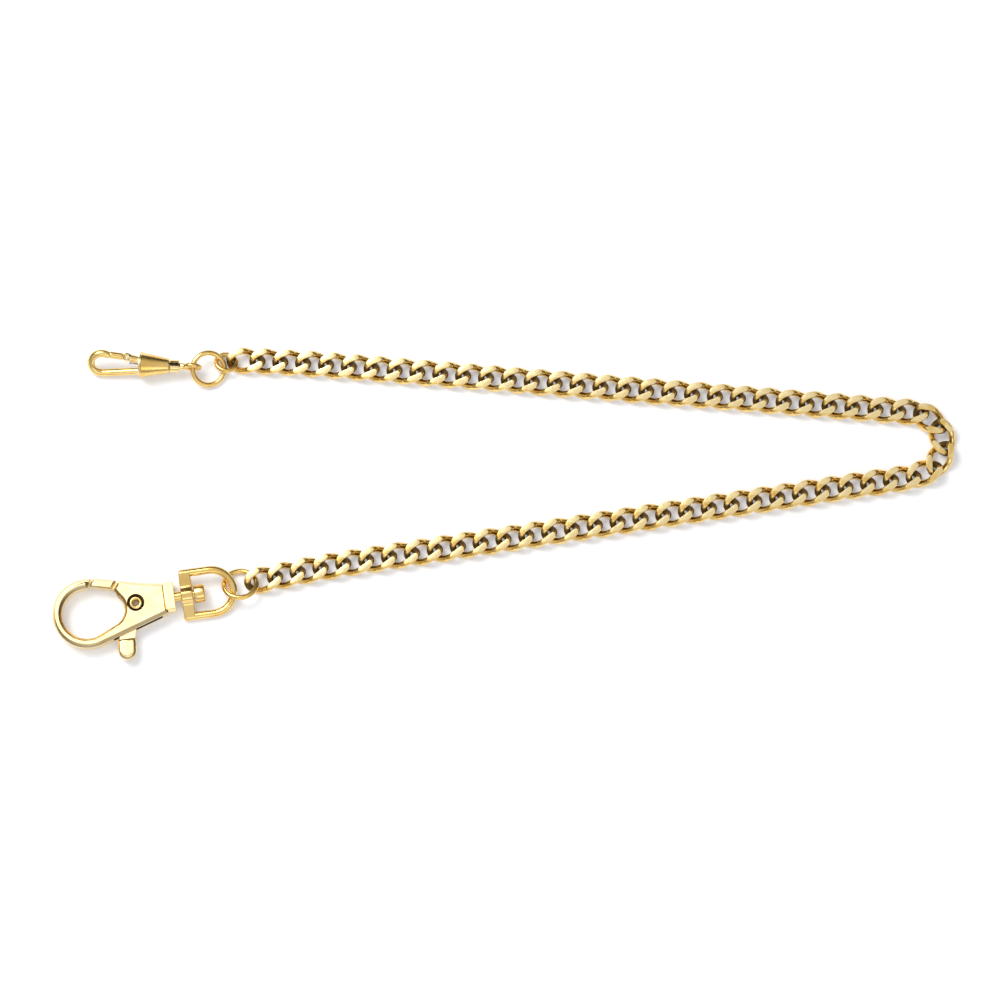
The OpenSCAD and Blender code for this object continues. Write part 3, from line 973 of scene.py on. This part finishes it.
def build_floor():
    bm = bmesh.new()
    half = 3.0
    corners = ((-half, -half), (half, -half), (half, half), (-half, half))
    bm.faces.new([bm.verts.new((x, y, 0)) for x, y in corners])
    mesh = bpy.data.meshes.new("floor")
    bm.to_mesh(mesh)
    bm.free()
    material, tree, shader = new_material("white_paper")
    place = tree.nodes.new("ShaderNodeTexCoord").outputs["Object"]
    grain = noise(tree, 60, 2, place)
    colour = ramp(tree, grain, [(0.3, (0.94, 0.942, 0.95)), (0.7, (0.955, 0.957, 0.965))])
    # painted shade: the floor fades from white near the middle to dark grey far off, so the gold reflects
    # a darker floor low down
    far = tree.nodes.new("ShaderNodeVectorMath")
    far.operation = "LENGTH"
    tree.links.new(place, far.inputs[0])
    away = spread_from(tree, far.outputs["Value"], 0.35, 1.5)
    shade = ramp(tree, away, [(0.0, (0, 0, 0)), (1.0, (1, 1, 1))])
    colour = mixed(tree, shade, colour, (0.3, 0.3, 0.31))
    tree.links.new(colour, shader.inputs["Base Color"])
    shader.inputs["Roughness"].default_value = 0.9
    # painted light: the floor glows faintly pale blue, so shadows on it stay pale and a little blue
    shader.inputs["Emission Color"].default_value = (0.80, 0.87, 1.0, 1)
    shader.inputs["Emission Strength"].default_value = 0.16
    mesh.materials.append(material)
    floor = bpy.data.objects.new("floor", mesh)
    bpy.context.scene.collection.objects.link(floor)


def area_light(name, at, aim, size, power, colour):
    lamp = bpy.data.lights.new(name, "AREA")
    lamp.shape = "RECTANGLE"
    lamp.size, lamp.size_y = size
    lamp.energy = power
    lamp.color = colour
    holder = bpy.data.objects.new(name, lamp)
    bpy.context.scene.collection.objects.link(holder)
    holder.location = at
    holder.rotation_euler = (Vector(aim) - Vector(at)).to_track_quat("-Z", "Y").to_euler()
    return holder


def build_world():
    """A white studio tent: bright overhead and towards the front, darker low down and behind."""
    world = bpy.data.worlds.new("studio")
    world.use_nodes = True
    bpy.context.scene.world = world
    tree = world.node_tree
    way = tree.nodes.new("ShaderNodeTexCoord").outputs["Generated"]
    split = tree.nodes.new("ShaderNodeSeparateXYZ")
    tree.links.new(way, split.inputs["Vector"])
    lean = tree.nodes.new("ShaderNodeMath")
    lean.operation = "MULTIPLY_ADD"
    lean.inputs[1].default_value = -0.35
    tree.links.new(split.outputs["Y"], lean.inputs[0])
    tree.links.new(split.outputs["Z"], lean.inputs[2])
    colour = ramp(tree, lean.outputs["Value"], [
        (0.0, (0.06, 0.06, 0.065)),
        (0.28, (0.13, 0.13, 0.14)),
        (0.66, (0.85, 0.86, 0.89)),
        (1.0, (1.0, 1.0, 1.0)),
    ])
    tree.links.new(colour, tree.nodes["Background"].inputs["Color"])
    tree.nodes["Background"].inputs["Strength"].default_value = 0.75


def build_camera():
    """A long lens looking down at 77 degrees."""
    elevation = math.radians(77)
    distance = 1.0
    across = 0.204
    target = Vector((-1.3, 0.86, 1.4)) * MM
    lens = bpy.data.cameras.new("camera")
    lens.sensor_width = 36
    lens.lens = 36 * distance / across
    camera = bpy.data.objects.new("camera", lens)
    bpy.context.scene.collection.objects.link(camera)
    camera.location = target + distance * Vector((0, -math.cos(elevation), math.sin(elevation)))
    camera.rotation_euler = (target - camera.location).to_track_quat("-Z", "Y").to_euler()
    lens.clip_start = 0.01
    bpy.context.scene.camera = camera


build_floor()
build_world()
area_light("key", (-0.42, 0.37, 0.72), (0, 0, 0), (0.5, 0.5), 5.4, (1.0, 0.99, 0.97))
area_light("snap_card", (-0.135, 0.14, 0.75), (-0.075, -0.02, 0), (0.16, 0.12), 0.07, (1.0, 1.0, 1.0))
area_light("front_fill", (0.15, -0.75, 0.6), (0, 0, 0), (0.9, 0.4), 1.2, (1.0, 1.0, 1.0))
build_camera()
bpy.context.scene.view_settings.view_transform = "Standard"
